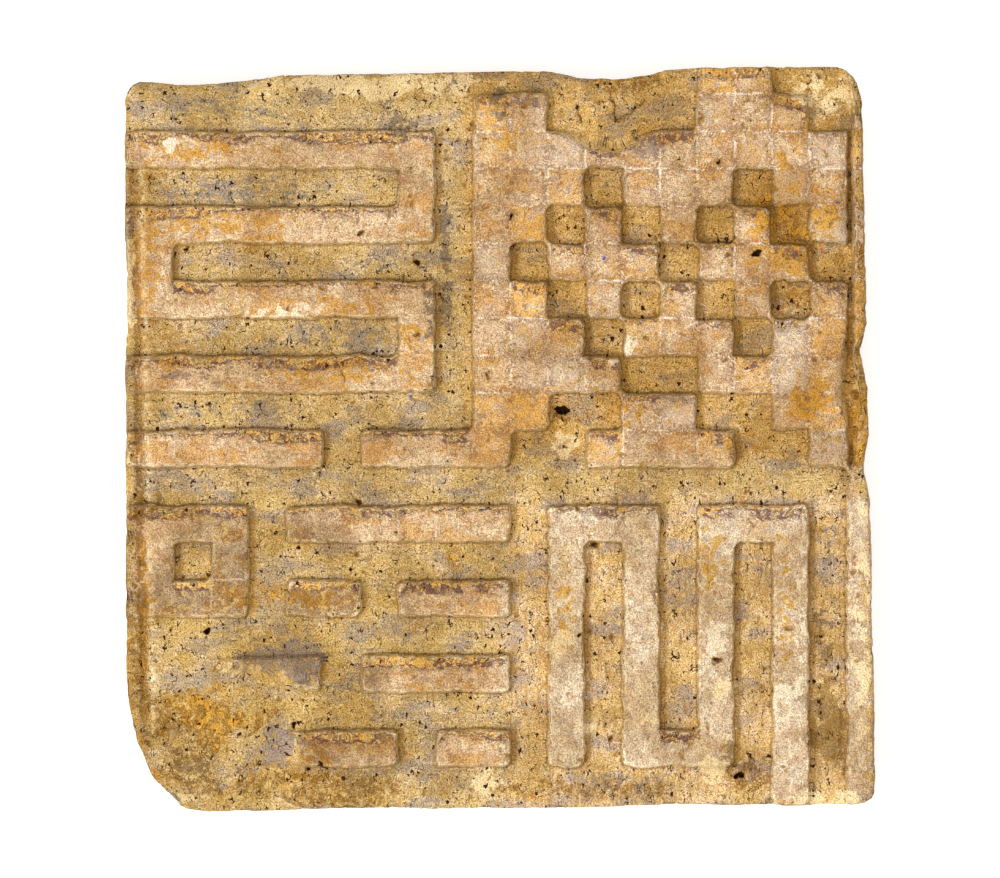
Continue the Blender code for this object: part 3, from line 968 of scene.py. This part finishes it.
white_share = reckon("MULTIPLY_ADD", upright, -0.20, 0.42)
ochre_share = reckon("MULTIPLY_ADD", upright, -0.45, 0.62)
worn_slip = layered(
    PINK_SLIP,
    (CREAM_SLIP, over(cloudy, 0.49, 0.012)),
    (WHITE_SLIP, over(smeared, 0.54, 0.008), flaked, white_share),
    (OCHRE_SLIP, under(smeared, 0.455, 0.012), over(cloudy, 0.43, 0.015), ochre_share),
    (BROWN_STREAK, crackle(streaky, 0.026, 0.46), flaked, 0.60),
    (LILAC_SLIP, under(blotchy, 0.405, 0.015), over(smeared, 0.49), 0.55),
    # painted shade in the fine creases
    (SLIP_CREASE_SHADE, crease_shade_line, 0.60),
    (SLIP_CRACK, crackle(blotchy, 0.020), half_flaked, 0.55),
    (RUSTY_SLIP, marked("ochre", blotchy), rise(flaky, 0.38, 0.46), 0.85),
    (GREY_CRUST, marked("grey", blotchy), streaked, 0.75),
)


def by_quarter(colour, upper_left, upper_right, lower_right, lower_left):
    """A colour with the tone that each quarter of the face weathered to."""
    tone = tint(upper_left, upper_right, over_clay("checked"))
    tone = tint(tone, lower_left, over_clay("lower_left"))
    return tint(colour, tint(tone, lower_right, upright), 1.0, "MULTIPLY")


SLIP_TONES = (0.80, 0.74, 0.66, 1), (0.80, 0.75, 0.69, 1), (0.81, 0.84, 0.86, 1), (0.45, 0.40, 0.33, 1)
CLAY_TONES = (0.83, 0.88, 1.06, 1), (0.82, 0.78, 0.74, 1), (0.96, 1.00, 1.26, 1), (0.80, 0.82, 0.84, 1)
worn_slip = by_quarter(worn_slip, *SLIP_TONES)
cut_clay = by_quarter(cut_clay, *CLAY_TONES)

slip_edge = pushed(over_clay("slip"), flaky, 3.0)
has_slip = both(over(slip_edge, 0.0, 0.05), rise(standing_up, 0.72, 0.90))
surface = tint(cut_clay, worn_slip, has_slip)

# Where the slip scaled off below the upper arrises its broken edge has gone dark.
FLAKE_EDGE = (0.150, 0.075, 0.060, 1)
on_stroke = rise(standing_up, 0.75, 0.95)
under_arris = rise(over_clay("upper_arris"), 0.02, 0.20)
flake_place = pushed(over_clay("slip"), blotchy, 3.2)
flake_line = less(rise(reckon("ABSOLUTE", reckon("ADD", flake_place, 0.28)), 0.20, 0.34))
bare_strip = both(rise(over_clay("upper_arris"), 0.20, 0.6), less(has_slip), on_stroke)
surface = layered(
    surface,
    (OCHRE_SLIP, bare_strip, mottled, 0.75),
    (FLAKE_EDGE, flake_line, under_arris, flaked, on_stroke, 0.90),
    (FLAKE_EDGE, wriggles, under_arris, clouded, on_stroke, 0.80),
)

# Gold on the sloping walls; cream on the arrises, partly rubbed wear, partly painted highlight;
# painted shadow right of each stroke and painted shade above its upper wall; a dark line at the
# foot of each wall, partly old dirt, partly painted shade; and old dirt in the margin's groove.
WALL_GOLD = (0.50, 0.300, 0.085, 1)
RUBBED_AND_LIT_CREAM = (0.92, 0.76, 0.50, 1)
PAINTED_SHADOW_BROWN = (0.42, 0.215, 0.035, 1)
UPPER_PAINTED_SHADE = (0.17, 0.095, 0.025, 1)
FOOT_DIRT_AND_SHADE = (0.26, 0.140, 0.040, 1)
GROOVE_DIRT = (0.24, 0.120, 0.022, 1)
RIDGE_CREAM = (0.95, 0.77, 0.48, 1)
on_wall = both(standing_up, less(standing_up), 4.0)
rubbed_and_lit_share = reckon("MULTIPLY_ADD", upright, 0.30, 0.50)
at_foot = rise(over_clay("wall_foot"), 0.15, 0.55)
surface = layered(
    surface,
    (WALL_GOLD, rise(on_wall, 0.30, 0.8), flaked, 0.65),
    # cream on the arrises: partly rubbed wear, partly painted highlight
    (RUBBED_AND_LIT_CREAM, rise(over_clay("arris"), 0.30, 0.7), half_flaked, clouded, rubbed_and_lit_share),
    # painted shadow on the ground right of each stroke
    (PAINTED_SHADOW_BROWN, rise(over_clay("painted_shadow_right"), 0.20, 0.85), clouded, 0.55),
    # painted shade on the ground along the foot of each stroke's upper wall
    (UPPER_PAINTED_SHADE, rise(over_clay("painted_shade_above_stroke"), 0.30, 0.70), flaked, 0.65),
    # dark line at the foot of each wall: partly dirt, partly painted shade in the crease
    (FOOT_DIRT_AND_SHADE, at_foot, flaked, clouded, 0.78),
    (GROOVE_DIRT, rise(over_clay("margin"), 0.25, 1.0), flaked, 0.62),
    (RIDGE_CREAM, over_clay("ridge"), flaked, 0.80),
)

# ========================================
# The ruled lines' colour. They are pale where a white point or the scraped slip left its
# powder, and brown where dirt lies in them.
# ========================================
LINE_STRAYS = 1.4 * MM


def ruled(position, first, direction):
    """How near a ruling is, as a share of a square, and which ruled square the place is in."""
    stray = pushed(position, cloudy, LINE_STRAYS)
    squares = both(reckon("SUBTRACT", stray, first), direction / SQUARE)
    return apart(squares, reckon("ROUND", squares)), reckon("FLOOR", squares)


to_upright, square_across = ruled(ruler.outputs["X"], RULING_LEFT, 1.0)
to_level, square_down = ruled(ruler.outputs["Y"], RULING_TOP, -1.0)
to_line = reckon("MINIMUM", to_upright, to_level)
on_line = less(rise(to_line, 0.014, 0.042))
patchy = rise(reckon("MULTIPLY_ADD", over_clay("checked"), 0.14, broad), 0.52, 0.60)
ruling_colour = tint((0.80, 0.69, 0.57, 1), (0.36, 0.200, 0.090, 1), over(cloudy, 0.535, 0.015))
line_share = reckon("MULTIPLY_ADD", over_clay("checked"), 0.46, 0.30)

# Each ruled square took the slip a little differently.
DULL_SQUARE = (0.50, 0.40, 0.31, 1)
SQUARE_FLAKES = (0.25, 0.130, 0.070, 1)
square_lot = new_node("TexWhiteNoise", {"Vector": place_at(square_across, square_down)}).outputs["Value"]
ochre_square = rise(square_lot, 0.50, 0.9)
dull_square = less(rise(square_lot, 0.0, 0.4))
checked_stroke = both(over_clay("checked"), on_stroke)
square_edge = less(rise(to_line, 0.06, 0.26))
surface = layered(
    surface,
    (ruling_colour, on_line, patchy, on_stroke, flaked, line_share),
    (OCHRE_SLIP, ochre_square, checked_stroke, mottled, 0.62),
    (DULL_SQUARE, dull_square, checked_stroke, flaked, 0.50),
    (SQUARE_FLAKES, wriggles, square_edge, clouded, checked_stroke, 0.75),
)

# ========================================
# Stains, soot with painted shadow, lime and fresh breaks, and on the sides and bedding face the
# pale traces of the mortar that the tile was set in.
# ========================================
DEEP_OCHRE = (0.54, 0.270, 0.030, 1)
BROWN_STAIN = (0.22, 0.120, 0.025, 1)
THICK_CRUST = (0.27, 0.200, 0.165, 1)
SOOT_AND_SHADOW = (0.12, 0.095, 0.070, 1)
FRESH_BREAK = (0.82, 0.64, 0.365, 1)
LIME = (0.88, 0.77, 0.60, 1)
MORTAR = (0.66, 0.57, 0.42, 1)
elsewhere = rise(over_clay("zone"), 0.45, 1.0)
bedding = rise(over_clay("zone"), 1.4, 1.9)
mortar = both(over(reckon("MULTIPLY_ADD", bedding, 0.04, cloudy), 0.58, 0.03), elsewhere)
surface = layered(
    surface,
    (DEEP_OCHRE, marked("ochre", blotchy, 0.95), flaked, 0.80),
    (BROWN_STAIN, marked("stain", blotchy), 0.65),
    (THICK_CRUST, marked("grey", blotchy, 0.85), flaked, 0.85),
    # soot, and painted shadow in the channels
    (SOOT_AND_SHADOW, marked("soot_and_shadow", flaky), 0.70),
    (FRESH_BREAK, marked("pale", cloudy), 0.68),
    (LIME, marked("lime", blotchy), on_stroke, 0.65),
    (MORTAR, mortar, rise(gritty, 0.34, 0.55), 0.70),
)

# ========================================
# Sand, pores and grit. Fine sand shows all over; burnt-out grit and chaff left pores, painted
# near-black as shade, the sloping sides of the modelled holes are painted brown as shade, and a
# few bits of red grit and blue glaze lie in the clay.
# ========================================
HOLE_SIDE_SHADE = (0.33, 0.170, 0.035, 1)
PORE_SHADE = (0.028, 0.008, 0.001, 1)
RED_GRIT = (0.50, 0.11, 0.035, 1)
BLUE_GLAZE = (0.05, 0.07, 0.30, 1)
sand = tint((0.70, 0.65, 0.54, 1), (1.13, 1.13, 1.13, 1), rise(gritty, 0.37, 0.59))
shade = tint((0.84, 0.79, 0.70, 1), (1.10, 1.11, 1.12, 1), rise(broad, 0.38, 0.62))
surface = tint(surface, sand, reckon("MULTIPLY_ADD", has_slip, -0.08, 1.0), "MULTIPLY")
surface = tint(surface, shade, 1.0, "MULTIPLY")
straws = both(crackle(wriggling, 0.030), over(blotchy, 0.535, 0.012), flaked)
big_cells = scattered(2.6 * MM, 11.0)
small_cells = scattered(1.2 * MM, 12.0)
stray_cells = scattered(2.8 * MM, 13.0)
pits = reckon("MAXIMUM", specks(*big_cells, -1.0, both(crowding, 0.11), 0.75, 0.06),
              specks(*small_cells, -1.0, both(crowding, 0.10), 0.34, 0.05))
pores = both(reckon("MAXIMUM", pits, straws), less(both(has_slip, 0.60)))
surface = layered(
    surface,
    # painted shade: brown on the sides of the modelled holes, near-black in the pores and deep holes
    (HOLE_SIDE_SHADE, rise(over_clay("hole"), 0.04, 0.35), 0.75),
    (PORE_SHADE, reckon("MAXIMUM", pores, rise(over_clay("hole"), 0.50, 1.60))),
    (RED_GRIT, specks(*stray_cells, 0.0, 0.0016, 0.9), 0.75),
    (BLUE_GLAZE, specks(*stray_cells, 0.0100, 0.0110, 0.9), 0.85),
)

shader = nodes["Principled BSDF"]
feed(shader.inputs["Base Color"], surface)
dullness = reckon("MULTIPLY_ADD", gritty, 0.10, 0.86)
feed(shader.inputs["Roughness"], reckon("SUBTRACT", dullness, both(has_slip, 0.10)))
shader.inputs["Specular IOR Level"].default_value = 0.10
roughness = new_node("Bump", {
    "Strength": 1.0, "Distance": 1.1 * MM,
    "Height": reckon("MULTIPLY_ADD", flaky, 0.9, both(gritty, 0.45)),
})
feed(shader.inputs["Normal"], roughness.outputs["Normal"])
skin_mesh.materials.append(clay)


# ========================================
# The studio: a white sweep, a broad soft light from the lower left, and a long lens
# straight above the tile.
# ========================================
FACE_IN_VIEW = 0.753                   # share of the picture's width that the tile takes
LENS_HEIGHT = 2.5                      # of the camera above the carved face
SENSOR = 36.0

floor_mesh = bpy.data.meshes.new("floor")
FLOOR_REACH = 8.0
floor_mesh.from_pydata(
    [(-FLOOR_REACH, -FLOOR_REACH, 0), (FLOOR_REACH, -FLOOR_REACH, 0),
     (FLOOR_REACH, FLOOR_REACH, 0), (-FLOOR_REACH, FLOOR_REACH, 0)],
    [], [(0, 1, 2, 3)],
)
floor = put_in_scene("floor", floor_mesh)
paper = bpy.data.materials.new("white_paper")
paper.use_nodes = True
for name, setting in (
    ("Base Color", (0.75, 0.75, 0.75, 1)), ("Roughness", 0.9),
    ("Emission Color", (1.0, 1.0, 1.0, 1)), ("Emission Strength", 0.40),
):
    paper.node_tree.nodes["Principled BSDF"].inputs[name].default_value = setting
floor_mesh.materials.append(paper)

world = bpy.data.worlds.new("studio")
bpy.context.scene.world = world
world.use_nodes = True
world.node_tree.nodes["Background"].inputs["Color"].default_value = (1.0, 1.0, 1.0, 1)
world.node_tree.nodes["Background"].inputs["Strength"].default_value = 0.80


def panel(name, place, size, power):
    """A square soft light turned to the tile."""
    light = bpy.data.lights.new(name, "AREA")
    light.size = size
    light.energy = power
    lamp = put_in_scene(name, light)
    lamp.location = place
    to_tile = Vector((0, 0, cad_high.z)) - lamp.location
    lamp.rotation_euler = to_tile.to_track_quat("-Z", "Y").to_euler()


panel("overhead", (0.0, 0.0, 4.6), 2.2, 75.0)
panel("window", (-1.4, -0.9, 2.5), 0.5, 60.0)

camera = bpy.data.cameras.new("camera")
camera.sensor_width = SENSOR
camera.lens = SENSOR * LENS_HEIGHT * FACE_IN_VIEW / (cad_high.x - cad_low.x)
camera_rig = put_in_scene("camera", camera)
camera_rig.location = (0.0, 0.0, cad_high.z + LENS_HEIGHT)
bpy.context.scene.camera = camera_rig
bpy.context.scene.view_settings.view_transform = "Standard"
